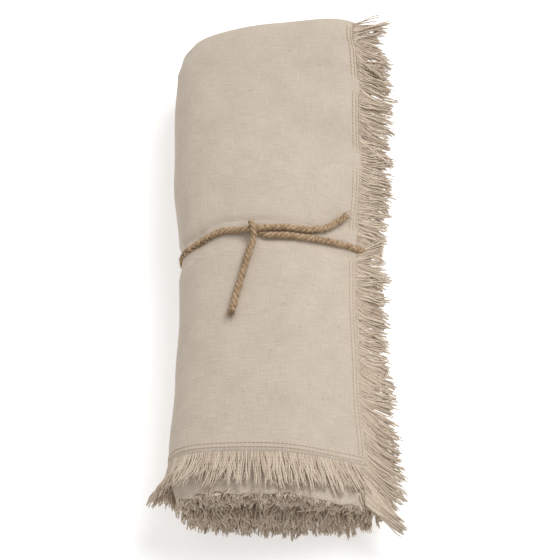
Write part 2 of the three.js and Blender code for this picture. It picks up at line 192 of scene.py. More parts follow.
def outer_level(deg):
    return HALF_HEIGHT - PITCH * (turns_at(deg) - turns_at(FREE_END_DEG))


FLOOR_LEVEL = float(outer_level((FLAT_FROM_DEG + FLAT_TO_DEG) / 2))
NOMINAL_HEIGHT = float(outer_level(90.0)) + FLOOR_LEVEL


# Where the twine lies along the roll at an angle
def twine_y(deg):
    turned = np.mod(deg, 360)
    return TWINE_Y - TWINE_LEFT_SLANT * ease((turned - 113) / 37) * (1 - ease((turned - 200) / 130))


def trough_depth(deg, y):
    angle = np.radians(deg)
    at_left = TROUGH_LEFT * np.maximum(0, -np.cos(angle))
    deepest = TROUGH_SIDE - (TROUGH_SIDE - TROUGH_TOP) * np.sin(angle) + at_left
    away = np.abs(y - twine_y(deg))
    return deepest * ease((TROUGH_WALL - away) / (TROUGH_WALL - TROUGH_FLOOR))


# Soft unevenness of the outer turns: gathers that the twine pulls, and slow waves
def unevenness(deg, y):
    angle = np.radians(deg)
    away = np.abs(y - twine_y(deg))
    pleats = 0.35 * np.sin(23 * angle + 0.02 * y) + 0.25 * np.sin(37 * angle - 0.05 * y + 1)
    gathers = np.exp(-away / 22) * pleats
    waves = 0.35 * np.sin(0.021 * y + 3 * angle + 0.4) + 0.3 * np.sin(0.043 * y - 5 * angle + 2.1)
    ripples = 0.16 * np.sin(0.09 * y + 9 * angle + 0.7) + 0.13 * np.sin(0.13 * y - 7 * angle + 1.3)
    lying = np.maximum(0, -np.sin(angle))
    return (gathers + waves + ripples) * (1 - ease(lying * 1.6))


def place(deg, level, y):
    deg, level, y = (np.asarray(v, float) for v in (deg, level, y))
    deg, level, y = np.broadcast_arrays(deg, level, y)
    angle = np.radians(deg)
    across = np.cos(angle)
    upward = np.sin(angle)
    outward = level / HALF_HEIGHT
    pressed = level - trough_depth(deg, y) * outward ** 2 + unevenness(deg, y) * np.clip(outward, 0, 1) ** 6
    on_right = ease(across / 0.5)
    width_share = from_table(SECTIONS, 1, y - on_right * np.maximum(0, y - SQUARE_FROM_Y)) / HALF_WIDTH
    height_share = from_table(SECTIONS, 2, y) / NOMINAL_HEIGHT
    x = (CORE_HALF_WIDTH * (1.5 * across - 0.5 * across ** 3) + pressed * across) * width_share
    z = pressed * np.maximum(-1, np.where(upward < 0, upward * FLAT_SHARE, upward))
    lean = from_table(SECTIONS, 3, y) * x / HALF_WIDTH
    droop = from_table(SECTIONS, 4, y) * ease(x / SHOULDER_X)
    return np.stack([x, y, (z + FLOOR_LEVEL) * height_share * (1 - lean - droop)], -1)


def hem_at(deg):
    return from_table(OPEN_END, 1, deg)


def fold_at(deg):
    ripple = 0.8 * np.sin(0.16 * deg + 0.6) + 0.5 * np.sin(0.37 * deg + 2.0)
    return from_table(OPEN_END, 2, deg) + ripple


# The roll's frame in the part's frame
cloth_low, cloth_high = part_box("cloth")
OFFSET = np.array([
    cloth_low.x / MM + (CORE_HALF_WIDTH + float(outer_level(180.0))) * WIDEST / HALF_WIDTH,
    cloth_high.y / MM - FAR_FOLD_Y,
    0.0,
])


def to_frame(points):
    return (np.asarray(points) + OFFSET) * MM


# Meshes from arrays

def make_mesh(name, points, quads, uv=None, tone=None, material=None, triangles=None):
    mesh = bpy.data.meshes.new(name)
    quads = np.asarray(quads, np.int32).reshape(-1, 4)
    triangles = np.asarray([] if triangles is None else triangles, np.int32).reshape(-1, 3)
    corners = np.concatenate([quads.ravel(), triangles.ravel()])
    starts = np.concatenate([np.arange(len(quads)) * 4, len(quads) * 4 + np.arange(len(triangles)) * 3])
    mesh.vertices.add(len(points))
    mesh.vertices.foreach_set("co", to_frame(points).astype(np.float32).ravel())
    mesh.loops.add(len(corners))
    mesh.loops.foreach_set("vertex_index", corners)
    mesh.polygons.add(len(starts))
    mesh.polygons.foreach_set("loop_start", starts.astype(np.int32))
    mesh.update(calc_edges=True)
    mesh.polygons.foreach_set("use_smooth", np.ones(len(starts), bool))
    if uv is not None:
        layer = mesh.uv_layers.new(name="UVMap")
        layer.data.foreach_set("uv", np.asarray(uv, np.float32)[corners].ravel())
    if tone is not None:
        attribute = mesh.attributes.new("tone", "FLOAT", "POINT")
        attribute.data.foreach_set("value", np.asarray(tone, np.float32))
    if material is not None:
        mesh.materials.append(material)
    obj = bpy.data.objects.new(name, mesh)
    bpy.context.scene.collection.objects.link(obj)
    return obj


# Tubes along many paths at once: paths is count by steps by 3, radii is count by steps
def tubes(paths, radii, sides):
    count, steps, _ = paths.shape
    along = np.gradient(paths, axis=1)
    along /= np.linalg.norm(along, axis=2, keepdims=True) + 1e-9
    reference = np.where(np.abs(along[..., 2:3]) < 0.8, np.array([0, 0, 1.0]), np.array([1.0, 0, 0]))
    side = np.cross(along, reference)
    side /= np.linalg.norm(side, axis=2, keepdims=True) + 1e-9
    other = np.cross(along, side)
    turn = np.arange(sides) * 2 * math.pi / sides
    ring = side[:, :, None] * np.cos(turn)[:, None] + other[:, :, None] * np.sin(turn)[:, None]
    points = paths[:, :, None] + ring * radii[:, :, None, None]
    n, s, k = np.meshgrid(np.arange(count), np.arange(steps - 1), np.arange(sides), indexing="ij")
    base = n * steps * sides + s * sides
    after = (k + 1) % sides
    quads = np.stack([base + k, base + after, base + sides + after, base + sides + k], -1).reshape(-1, 4)
    length = np.cumsum(np.linalg.norm(np.diff(paths, axis=1, prepend=paths[:, :1]), axis=2), axis=1)
    uv = np.stack(np.broadcast_arrays(np.arange(sides) / sides, length[:, :, None] * MM), -1)
    tips = np.arange(count) * steps * sides + (steps - 1) * sides
    fan = np.arange(1, sides - 1)
    caps = np.stack(np.broadcast_arrays(tips[:, None], tips[:, None] + fan, tips[:, None] + fan + 1), -1)
    return points.reshape(-1, 3), quads, uv.reshape(-1, 2), caps.reshape(-1, 3)


# Materials

class Nodes:
    def __init__(self, name, roughness):
        self.material = bpy.data.materials.new(name)
        self.material.use_nodes = True
        self.tree = self.material.node_tree
        self.shader = self.tree.nodes["Principled BSDF"]
        self.shader.inputs["Roughness"].default_value = roughness
        self.shader.inputs["Specular IOR Level"].default_value = 0.15

    def add(self, kind, settings=(), **inputs):
        node = self.tree.nodes.new(kind)
        for key, value in dict(settings).items():
            setattr(node, key, value)
        for key, value in inputs.items():
            self.put(node, int(key[1:]) if key[0] == "i" and key[1:].isdigit() else key, value)
        return node

    def put(self, node, key, value):
        socket = node.inputs[key]
        if isinstance(value, bpy.types.NodeSocket):
            self.tree.links.new(value, socket)
        else:
            socket.default_value = value

    def math(self, operation, a, b=0.0):
        return self.add("ShaderNodeMath", {"operation": operation}, i0=a, i1=b).outputs[0]

    def noise(self, vector, scale, detail=2.0, rough=0.5):
        inputs = {"Vector": vector, "Scale": scale, "Detail": detail, "Roughness": rough}
        return self.add("ShaderNodeTexNoise", **inputs).outputs["Fac"]

    def stretched(self, vector, scales):
        settings = {"operation": "MULTIPLY"}
        return self.add("ShaderNodeVectorMath", settings, i0=vector, i1=scales).outputs[0]

    def ramp(self, factor, stops):
        node = self.add("ShaderNodeValToRGB", Fac=factor)
        elements = node.color_ramp.elements
        while len(elements) < len(stops):
            elements.new(0.5)
        for element, (position, colour) in zip(elements, stops):
            element.position = position
            element.color = (*colour, 1.0)
        return node.outputs["Color"]

    def mix(self, factor, a, b, blend="MIX"):
        node = self.add("ShaderNodeMix", {"data_type": "RGBA", "blend_type": blend})
        for key, value in ((0, factor), (6, a), (7, b)):
            self.put(node, key, value)
        return node.outputs[2]

    def bump(self, height, strength, distance):
        node = self.add("ShaderNodeBump", Height=height, Strength=strength, Distance=distance)
        self.put(self.shader, "Normal", node.outputs["Normal"])

    def colour(self, socket):
        self.put(self.shader, "Base Color", socket)


# Plain-weave cotton: yarns across and along, uneven in thickness, with a few dark flecks
def cotton_material():
    n = Nodes("cotton_weave", 0.95)
    uv = n.add("ShaderNodeUVMap", {"uv_map": "UVMap"}).outputs[0]
    wander = n.noise(uv, 60.0, 2.0)
    along = n.noise(n.stretched(uv, (90.0, 1700.0, 1.0)), 1.0, 2.0, 0.6)
    across = n.noise(n.stretched(uv, (1700.0, 90.0, 1.0)), 1.0, 2.0, 0.6)
    fine = n.noise(uv, 1300.0, 2.0, 0.7)
    yarns = n.math("ADD", n.math("MULTIPLY", along, 0.42), n.math("MULTIPLY", across, 0.58))
    weave = n.math("ADD", n.math("MULTIPLY", yarns, 0.55), n.math("MULTIPLY", fine, 0.45))
    stops = [(0.32, (0.47, 0.39, 0.31)), (0.5, (0.605, 0.515, 0.42)), (0.68, (0.72, 0.63, 0.53))]
    base = n.ramp(weave, stops)
    cloud = n.ramp(wander, [(0.3, (0.93, 0.93, 0.93)), (0.7, (1.0, 1.0, 1.0))])
    shaded = n.mix(1.0, base, cloud, "MULTIPLY")
    flecks = n.ramp(n.noise(uv, 450.0, 0.0), [(0.81, (0.0, 0.0, 0.0)), (0.85, (1.0, 1.0, 1.0))])
    n.colour(n.mix(n.math("MULTIPLY", flecks, 0.5), shaded, (0.30, 0.22, 0.15, 1.0)))
    n.bump(weave, 0.55, 0.0006)
    n.shader.inputs["Sheen Weight"].default_value = 0.12
    n.shader.inputs["Sheen Roughness"].default_value = 0.6
    return n.material


# Loose cotton yarn: a twist along each yarn, and yarns of different tones
def yarn_material():
    n = Nodes("cotton_yarn", 0.95)
    uv = n.add("ShaderNodeUVMap", {"uv_map": "UVMap"}).outputs[0]
    tone = n.add("ShaderNodeAttribute", {"attribute_name": "tone"}).outputs["Fac"]
    split = n.add("ShaderNodeSeparateXYZ", i0=uv)
    turns = n.math("MULTIPLY", split.outputs[1], 2 * math.pi / 0.0024)
    around = n.math("MULTIPLY", split.outputs[0], 4 * math.pi)
    twist = n.math("SINE", n.math("ADD", turns, around))
    patchy = n.noise(n.stretched(uv, (6.0, 400.0, 1.0)), 1.0, 2.0)
    level = n.math("ADD", n.math("MULTIPLY", tone, 0.6), n.math("MULTIPLY", patchy, 0.4))
    stops = [(0.15, (0.58, 0.47, 0.36)), (0.5, (0.72, 0.60, 0.475)), (0.9, (0.83, 0.715, 0.59))]
    n.colour(n.ramp(level, stops))
    n.bump(twist, 0.35, 0.0003)
    n.shader.inputs["Sheen Weight"].default_value = 0.1
    n.shader.inputs["Sheen Roughness"].default_value = 0.6
    return n.material


def thread_material():
    n = Nodes("stitch_thread", 0.85)
    uv = n.add("ShaderNodeUVMap", {"uv_map": "UVMap"}).outputs[0]
    patchy = n.noise(n.stretched(uv, (4.0, 900.0, 1.0)), 1.0, 1.0)
    n.colour(n.ramp(patchy, [(0.3, (0.43, 0.32, 0.19)), (0.7, (0.58, 0.45, 0.30))]))
    n.bump(patchy, 0.3, 0.0002)
    return n.material


# Jute: long coarse fibres that run along each ply, from straw to brown
def jute_material():
    n = Nodes("jute_fibre", 0.85)
    uv = n.add("ShaderNodeUVMap", {"uv_map": "UVMap"}).outputs[0]
    tone = n.add("ShaderNodeAttribute", {"attribute_name": "tone"}).outputs["Fac"]
    fibres = n.noise(n.stretched(uv, (26.0, 260.0, 1.0)), 1.0, 3.0, 0.65)
    patchy = n.noise(uv, 90.0, 2.0)
    level = n.math("ADD", n.math("MULTIPLY", fibres, 0.65), n.math("MULTIPLY", patchy, 0.2))
    level = n.math("ADD", level, n.math("MULTIPLY", tone, 0.15))
    stops = [(0.34, (0.16, 0.09, 0.04)), (0.48, (0.43, 0.295, 0.175)), (0.66, (0.68, 0.51, 0.345))]
    n.colour(n.ramp(level, stops))
    n.bump(fibres, 0.6, 0.0006)
    return n.material


def floor_material():
    n = Nodes("pale_floor", 0.9)
    position = n.add("ShaderNodeNewGeometry").outputs["Position"]
    n.colour(n.ramp(n.noise(position, 3.0), [(0.3, (0.90, 0.90, 0.90)), (0.7, (0.92, 0.92, 0.92))]))
    n.shader.inputs["Emission Color"].default_value = (1.0, 1.0, 1.0, 1.0)
    n.shader.inputs["Emission Strength"].default_value = 0.35
    return n.material


COTTON = cotton_material()
YARN = yarn_material()
THREAD = thread_material()
JUTE = jute_material()


# Camera, at the photograph's viewing angle

ELEVATION = math.radians(62)
DISTANCE = 1500.0
FOCAL_PIXELS = 2085.0
FRAME_PIXELS = 560.0
SENSOR = 36.0
backward = np.array([0.0, -math.cos(ELEVATION), math.sin(ELEVATION)])
upward_view = np.array([0.0, math.sin(ELEVATION), math.cos(ELEVATION)])
watched = np.array([0.0, 0.0, 35.0])
aim = watched + np.array([3.2, 0.0, 0.0]) - 6.5 * upward_view
camera_data = bpy.data.cameras.new("camera")
camera_data.sensor_width = SENSOR
camera_data.lens = FOCAL_PIXELS * SENSOR / FRAME_PIXELS
camera = bpy.data.objects.new("camera", camera_data)
bpy.context.scene.collection.objects.link(camera)
camera.location = Vector(to_frame(watched + DISTANCE * backward))
camera.rotation_euler = (Vector(to_frame(aim)) - camera.location).to_track_quat("-Z", "Y").to_euler()
bpy.context.scene.camera = camera


# Twine

def angle_at_x(x, y):
    low, high = FREE_END_DEG, 180.0
    for _ in range(40):
        middle = (low + high) / 2
        if place(middle, outer_level(middle), y)[0] > x:
            low = middle
        else:
            high = middle
    return low


def route_point(row):
    x, dy, lift = row
    deg = angle_at_x(x, TWINE_Y + dy)
    return place(deg, outer_level(deg), TWINE_Y + dy) + np.array([0, 0, lift])


EASE_FROM_DEG = 372.0


def twine_bed(deg):
    up = ease((deg - EASE_FROM_DEG) / (FREE_EDGE_DEG + 358 - EASE_FROM_DEG))
    level = outer_level(np.minimum(deg, FREE_EDGE_DEG + 360))
    return place(deg, level * (1 - up) + HALF_HEIGHT * up, twine_y(deg))


def loop_point(deg):
    along = twine_bed(deg + 1) - twine_bed(deg - 1)
    outward = np.array([along[2], 0, -along[0]])
    return twine_bed(deg) + outward / np.linalg.norm(outward) * (TWINE_RADIUS + 0.4)


def twine_points():
    loop_from = angle_at_x(RIGHT_END_TO_LOOP[-1][0], TWINE_Y) + 8
    loop_to = angle_at_x(LOOP_TO_LOWER_END[0][0], TWINE_Y) + 352
    loop = [loop_point(deg) for deg in np.linspace(loop_from, loop_to, 41)]
    first = [route_point(row) for row in RIGHT_END_TO_LOOP]
    last = [route_point(row) for row in LOOP_TO_LOWER_END]
    return np.array(first + loop + last)


# Points between each knot's point and the one that lies some knots on
def blended(points, knots, at, span):
    made = []
    for k in range(len(knots) - span):
        width = knots[k + span] - knots[k]
        made.append((knots[k + span] - at) / width * points[k] + (at - knots[k]) / width * points[k + 1])
    return made


# A smooth line through points, resampled at even steps
def smooth_line(points, step):
    padded = np.concatenate([[2 * points[0] - points[1]], points, [2 * points[-1] - points[-2]]])
    knots = np.concatenate([[0], np.cumsum(np.linalg.norm(np.diff(padded, axis=0), axis=1) ** 0.5)])
    fine = []
    for i in range(1, len(padded) - 2):
        p = padded[i - 1:i + 3]
        t = knots[i - 1:i + 3]
        at = np.linspace(t[1], t[2], 14, endpoint=False)[:, None]
        a = blended(p, t, at, 1)
        b = blended(a, t, at, 2)
        fine.append((t[2] - at) / (t[2] - t[1]) * b[0] + (at - t[1]) / (t[2] - t[1]) * b[1])
    fine = np.concatenate(fine + [points[-1:]])
    run = np.concatenate([[0], np.cumsum(np.linalg.norm(np.diff(fine, axis=0), axis=1))])
    even = np.linspace(0, run[-1], int(round(run[-1] / step)) + 1)
    return np.stack([np.interp(even, run, fine[:, k]) for k in range(3)], 1), even


# Frames that turn as little as they can along a line
def carried_frames(line):
    along = np.gradient(line, axis=0)
    along /= np.linalg.norm(along, axis=1, keepdims=True)
    side = np.array([0, 0, 1.0])
    sides = []
    for tangent in along:
        side = side - tangent * np.dot(side, tangent)
        side /= np.linalg.norm(side)
        sides.append(side)
    sides = np.array(sides)
    return along, sides, np.cross(along, sides)


twine_line, twine_run = smooth_line(twine_points(), 0.8)
twine_along, twine_side, twine_other = carried_frames(twine_line)
knot_middle = route_point((-15.5, 0, 7))
pulled = 1 - ease((np.linalg.norm(twine_line - knot_middle, axis=1) - 8) / 10)
twine_thick = TWINE_RADIUS * (1 - (1 - TWINE_KNOT_SHARE) * pulled)
PLY_SHARE = 0.49


def ply_line(ply):
    phase = -2 * math.pi * (twine_run / TWINE_LAY + ply / TWINE_PLIES)
    reach = (twine_thick * (1 - PLY_SHARE))[:, None]
    return twine_line + reach * (np.cos(phase)[:, None] * twine_side + np.sin(phase)[:, None] * twine_other)


def make_twine():
    rng = np.random.default_rng(3)
    lines = np.stack([ply_line(ply) for ply in range(TWINE_PLIES)])
    swelling = 0.05 * np.sin(twine_run[None] * 0.9 + np.arange(TWINE_PLIES)[:, None] * 2)
    lumps = 1 + swelling + rng.normal(0, 0.015, lines.shape[:2])
    radii = twine_thick[None] * PLY_SHARE * lumps
    points, quads, uv, caps = tubes(lines, radii, 10)
    tone = np.repeat(rng.random(lines.shape[:2]).ravel(), 10)
    twine = make_mesh("twine_rope", points, quads, uv, tone, JUTE, caps)
    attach(twine, "root")
    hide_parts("twine")
    return twine


def make_twine_fibres():
    rng = np.random.default_rng(8)
    count = 1100
    steps = 5
    at = rng.integers(0, len(twine_line), count)
    ends = rng.random(count) < 0.10
    from_end = rng.integers(0, 4, count)
    tail = np.where(rng.random(count) < 0.5, from_end, len(twine_line) - 1 - from_end)
    at = np.where(ends, tail, at)
    turn = rng.random(count) * 2 * math.pi
    out = np.cos(turn)[:, None] * twine_side[at] + np.sin(turn)[:, None] * twine_other[at]
    forward = np.where(at < len(twine_line) / 2, -1.0, 1.0)
    heading = np.where(ends, forward, rng.choice([-1.0, 1.0], count))[:, None] * twine_along[at]
    start = twine_line[at] + out * (twine_thick[at] * np.where(ends, rng.random(count) * 0.8, 0.9))[:, None]
    length = np.where(ends, rng.uniform(2.5, 6.0, count), rng.uniform(1.5, 5.0, count))
    spread = np.where(ends, 0.35, rng.uniform(0.15, 0.75, count))[:, None]
    curl = rng.normal(0, 0.35, (count, 3))
    share = np.linspace(0, 1, steps)[None, :, None]
    direction = heading + out * spread
    course = direction[:, None] * share + curl[:, None] * share ** 2 * 0.5
    paths = start[:, None] + length[:, None, None] * course
    paths[..., 2] = np.maximum(paths[..., 2], 0.15)
    radii = np.where(ends, 0.16, 0.075)[:, None] * np.linspace(1, 0.4, steps)[None]
    points, quads, uv, caps = tubes(paths, radii, 3)
    fibres = make_mesh("twine_fibres", points, quads, uv, np.repeat(rng.random(count), steps * 3), JUTE, caps)
    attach(fibres, "root")
    return fibres


twine = make_twine()
twine_fibres = make_twine_fibres()


# Cloth: one sheet, folded in four and rolled

OUTER_STEP_DEG = 2.2
INNER_STEP_DEG = 15.0


def winding_stations():
    outer = np.arange(FREE_EDGE_DEG, FREE_END_DEG + 362, OUTER_STEP_DEG)
    inner = np.arange(outer[-1] + 6, 5000, INNER_STEP_DEG)
    return np.concatenate([outer, inner[outer_level(inner) > CORE_LEVEL]])


def half_turn(y, depth_from, depth_to, towards, steps):
    turn = np.linspace(0, math.pi, steps)
    radius = (depth_to - depth_from) / 2
    depth = (depth_from + depth_to) / 2 - radius * np.cos(turn)
    return y + towards * abs(radius) * np.sin(turn), depth


# How far the inner layers puff apart, and bend down, towards their fold
PUFF_REACH = 13
PUFF_BACK = 0.9
PUFF_FRONT = 0.5
BEND = 6.0
BEND_REACH = 21


def puff_at(y, fold):
    return ease(1 - (y - fold) / PUFF_REACH)


def bend_at(y, fold):
    return BEND * ease(1 - (y - fold) / BEND_REACH)


# The underside of a packet's inner layers, below the packet's outer face
def tongue_depth(deg, y):
    fold = fold_at(deg)
    return LAYER_DEPTH["d"] + PUFF_BACK * puff_at(y, fold) + bend_at(y, fold)


# The sheet across its width at one station: y and depth from the outer hem to the inner hem
def sheet_profile(deg):
    hem = float(hem_at(deg))
    fold = float(fold_at(deg))
    a, b, c, d = (LAYER_DEPTH[k] for k in "abcd")
    share = np.concatenate([np.linspace(0, 1, 48), np.linspace(0.40, 0.56, 17)])
    outer_y = hem + np.unique(share) * (FAR_FOLD_Y - 1.6 - hem)
    few = np.linspace(0, 1, 13)
    closer = np.concatenate([np.linspace(0, 0.9, 10), [0.945, 0.965, 0.98, 0.991, 1.0]])
    far_a, far_a_depth = half_turn(FAR_FOLD_Y - 1.4, a, d, 1, 7)
    back = (FAR_FOLD_Y - 3.0) + closer * (fold + 1.2 - FAR_FOLD_Y + 3.0)
    back_depth = d + PUFF_BACK * puff_at(back, fold) + bend_at(back, fold)
    forth = back[::-1]
    forth_depth = c - PUFF_FRONT * puff_at(forth, fold) + bend_at(forth, fold)
    near, near_depth = half_turn(fold + 1.1, back_depth[-1], forth_depth[0], -1, 7)
    far_c, far_c_depth = half_turn(FAR_FOLD_Y - 2.4, c, b, 1, 5)
    home = (FAR_FOLD_Y - 3.0) + few * (hem + 0.3 - FAR_FOLD_Y + 3.0)
    ys = [outer_y, far_a, back, near, forth, far_c, home]
    depths = [outer_y * 0 + a, far_a_depth, back_depth, near_depth, forth_depth, far_c_depth, home * 0 + b]
    return np.concatenate(ys), np.concatenate(depths)


def make_cloth():
    stations = winding_stations()
    profiles = [sheet_profile(deg) for deg in stations]
    y = np.stack([p[0] for p in profiles])
    depth = np.stack([p[1] for p in profiles])
    deg = np.repeat(stations[:, None], y.shape[1], 1)
    points = place(deg, outer_level(deg) - depth, y)
    rows, columns = y.shape
    across = np.cumsum(np.linalg.norm(np.diff(points, axis=1, prepend=points[:, :1]), axis=2), axis=1)
    middle = points[:, columns // 4]
    run = np.concatenate([[0], np.cumsum(np.linalg.norm(np.diff(middle, axis=0), axis=1))])
    uv = np.stack([across, np.repeat(run[:, None], columns, 1)], -1) * MM
    r, c = np.meshgrid(np.arange(rows - 1), np.arange(columns - 1), indexing="ij")
    first = r * columns + c
    quads = np.stack([first, first + 1, first + columns + 1, first + columns], -1).reshape(-1, 4)
    cloth = make_mesh("cloth_sheet", points.reshape(-1, 3), quads, uv.reshape(-1, 2), None, COTTON)
    thickness = cloth.modifiers.new("thickness", "SOLIDIFY")
    thickness.thickness = CLOTH_THICKNESS * MM
    thickness.offset = 0.0
    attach(cloth, "root")
    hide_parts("cloth")
    flat = (float(across[:, -1].mean()) * MM, float(run[-1]) * MM)
    return cloth, flat


cloth, CLOTH_FLAT = make_cloth()


# Fringe: yarns in locks. Each lock has its own lean, and its yarns draw together towards their tips.

YARN_STEPS = 10


# The hem's length from the free end to each angle, to space yarns evenly along it
def hem_run(degs, depth):
    points = place(degs, outer_level(degs) - depth, hem_at(degs))
    return np.concatenate([[0], np.cumsum(np.linalg.norm(np.diff(points, axis=0), axis=1))])


# Where each yarn of a row belongs: its lock, and how far it stands from the lock's middle
def locks_of(at, lock_width, rng):
    edges = np.cumsum(rng.uniform(0.6, 1.4, int(at.max() / lock_width * 1.5) + 4) * lock_width)
    lock = np.searchsorted(edges, at)
    starts = np.concatenate([[0], edges])
    middle = (starts[lock] + starts[lock + 1]) / 2
    return lock, at - middle


# Each yarn starts a little in from the edge, on the face of the cloth, and eases down past it
ROOT_IN = 3.0
ROOT_RISE = 0.5
ROOT_RISE_SHARE = 0.35


def root_rise(share):
    return ROOT_RISE * (1 - ease(share / ROOT_RISE_SHARE))


# How each yarn of a row runs from its root: sideways along the hem and up from it, step by step.
# The yarns of a lock roll round each other and wave together, the wilder the further.
def yarn_courses(at, lock_width, drawn, wild, rng):
    lock, off = locks_of(at, lock_width, rng)
    locks = lock.max() + 1
    count = len(at)
    share = np.linspace(0, 1, YARN_STEPS)[None]

    def of_lock(numbers):
        return numbers[lock][:, None]

    draw = of_lock(rng.uniform(*drawn, locks))
    roll = of_lock(rng.normal(0, 1.2, locks)) * share
    height = rng.normal(0, 0.45 + 0.5 * wild, (count, 1))
    spread = off[:, None] * (1 - draw * share ** 1.2)
    lean = of_lock(rng.normal(0, 1.1 + 4.0 * wild, locks)) + rng.normal(0, 0.7 + 0.9 * wild, (count, 1))
    phase = of_lock(rng.uniform(0, 2 * math.pi, locks)) + rng.normal(0, 0.45, (count, 1))
    rate = of_lock(rng.uniform(5, 11 + 5 * wild, locks))
    curl = of_lock(rng.uniform(0.3, 0.8 + 1.5 * wild, locks))
    own_phase = rng.uniform(0, 2 * math.pi, (count, 1))
    own_rate = rng.uniform(9, 20, (count, 1))
    own_curl = rng.uniform(0.12, 0.45 + 0.4 * wild, (count, 1))
    wave = curl * np.sin(phase + rate * share) + own_curl * np.sin(own_phase + own_rate * share)
    ripple = 0.8 * curl * np.cos(1.3 * phase + 0.9 * rate * share)
    ripple = ripple + own_curl * np.cos(own_phase + own_rate * share)
    sideways = spread * np.cos(roll) - off[:, None] - height * np.sin(roll)
    sideways = sideways + lean * share ** 1.5 + wave * share ** 0.7
    upward = height * np.cos(roll) * share ** 0.6 + 0.6 * spread * np.sin(roll) * share
    upward = upward + ripple * share ** 0.7
    return lock, locks, sideways, upward


def open_end_yarns(deg_from, deg_to, layer, spacing, lock_width, wild, rng):
    depth = LAYER_DEPTH[layer]
    degs = np.arange(deg_from, deg_to, 1.0)
    run = hem_run(degs, depth)
    at = np.arange(0, run[-1], spacing)
    at = np.sort(at + rng.normal(0, 0.25 * spacing, len(at))).clip(0, run[-1])
    lock, locks, sideways, upward = yarn_courses(at, lock_width, (0.25, 0.8), wild, rng)
    count = len(at)
    deg = np.interp(at, run, degs)
    per_degree = np.gradient(run, degs)[np.clip((deg - deg_from).astype(int), 0, len(degs) - 1)]
    length = OPEN_FRINGE_LENGTH * rng.uniform(0.9, 1.06, locks)[lock] * rng.uniform(0.86, 1.04, count)
    at_floor = ease((-np.sin(np.radians(deg)) - 0.3) / 0.5)
    length = length * (1 - 0.15 * wild + 0.25 * at_floor)
    rise = rng.normal(0.3, 0.5 + 3.2 * wild, locks)[lock] + rng.normal(0, 0.3 + 0.6 * wild, count)
    on_top = 1 - ease((deg - 190) / 20)
    combed = from_table(COMB, 1, deg)
    side_flare = 14 * ease((deg - 115) / 50) * (1 - ease((deg - 180) / 25))
    share = np.linspace(0, 1, YARN_STEPS)[None]
    turned = deg[:, None] + (sideways + combed[:, None] * share ** 1.4) / per_degree[:, None]
    lift = upward + (rise + side_flare * rng.uniform(0.5, 1.1, locks)[lock])[:, None] * share ** 1.8
    forth = np.sqrt(length ** 2 - np.minimum(combed ** 2, 0.6 * length ** 2))
    y = hem_at(deg)[:, None] + ROOT_IN - forth[:, None] * share
    bed = -0.9 - bend_at(y, fold_at(turned))
    lift = np.where(on_top[:, None] > 0, np.maximum(lift + 0.3 * bed * share, bed), lift)
    level = outer_level(turned) - depth + lift + root_rise(share)
    outside = turned - 360
    past_fold = ease((fold_at(outside) - y) / 5)
    roof = outer_level(outside) - tongue_depth(outside, y) - 0.9 + 8 * past_fold
    level = np.where(outside > FREE_END_DEG, np.minimum(level, roof), level)
    paths = place(turned, level, y)
    paths[..., 2] = np.maximum(paths[..., 2], 0.7)
    return paths


# The free end's rows by layer: spacing, width of a lock, how far its yarns draw together, scatter of
# the slant, and how wild its yarns are
END_ROWS = {
    "a": (0.80, 4.5, (0.0, 0.45), 0.15, 0.25),
    "b": (0.76, 5.0, (0.0, 0.35), 0.12, 0.15),
    "c": (0.70, 7.0, (0.0, 0.2), 0.07, 0.05),
    "d": (0.70, 8.0, (0.0, 0.1), 0.05, 0.0),
}


# The free end's yarns. Those beside the twine spread over it where it goes down the right side.
def free_end_yarns(layer, rng):
    depth = LAYER_DEPTH[layer]
    spacing, lock_width, drawn, scatter, wild = END_ROWS[layer]
    near = OPEN_END[0][1 if layer in "ab" else 2] + 2.0
    at = np.arange(0, FAR_FOLD_Y - 2 - near, spacing)
    at = at[np.abs(near + at - TWINE_Y) > TWINE_RADIUS + 1.2]
    at = np.sort(at + rng.normal(0, 0.25 * spacing, len(at))).clip(0, FAR_FOLD_Y - 2 - near)
    lock, locks, sideways, upward = yarn_courses(at, lock_width, drawn, wild, rng)
    count = len(at)
    root = near + at
    length = FRINGE_LENGTH * from_table(END_FRINGE, 3, root)
    length = length * rng.uniform(0.92, 1.06, locks)[lock] * rng.uniform(0.86, 1.04, count)
    beside = root - TWINE_Y
    strength = np.where(beside > 0, 0.35, 0.8)
    over_twine = strength * np.sign(beside) * np.exp(-((np.abs(beside) - 4) / 9) ** 2)
    slant = from_table(END_FRINGE, 1, root) + over_twine + rng.normal(0, scatter, locks)[lock]
    lift = from_table(END_FRINGE, 2, root) * rng.uniform(0.75, 1.15, locks)[lock] + rng.normal(0, 0.9, count)
    lift = lift - 1.5 * depth
    fall = from_table(END_FRINGE, 4, root)
    share = np.linspace(0, 1, YARN_STEPS)[None]
    straight = (length / np.hypot(1, slant))[:, None] * share
    y = root[:, None] - slant[:, None] * straight + sideways
    deg = FREE_EDGE_DEG + (ROOT_IN - fall[:, None] * straight) / END_LOCK_SPAN
    clearing = 1.45 * trough_depth(deg, y) * ease(share / 0.3)
    level = HALF_HEIGHT - depth + lift[:, None] * share ** 2 + upward + clearing + root_rise(share)
    return place(deg, level, y)


def make_fringe(name, rows, radius, nodes, seed):
    rng = np.random.default_rng(seed)
    paths = np.concatenate(rows)
    taper = np.interp(np.linspace(0, 1, YARN_STEPS), [0, 0.12, 0.7, 0.9, 1], [0.45, 1.0, 1.0, 0.9, 0.65])
    radii = radius * rng.uniform(0.75, 1.15, len(paths))[:, None] * taper[None]
    points, quads, uv, caps = tubes(paths, radii, 4)
    tone = np.repeat(rng.random(len(paths)), YARN_STEPS * 4)
    fringe = make_mesh(name, points, quads, uv, tone, YARN, caps)
    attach(fringe, "root")
    if nodes:
        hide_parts(*nodes)
    return fringe


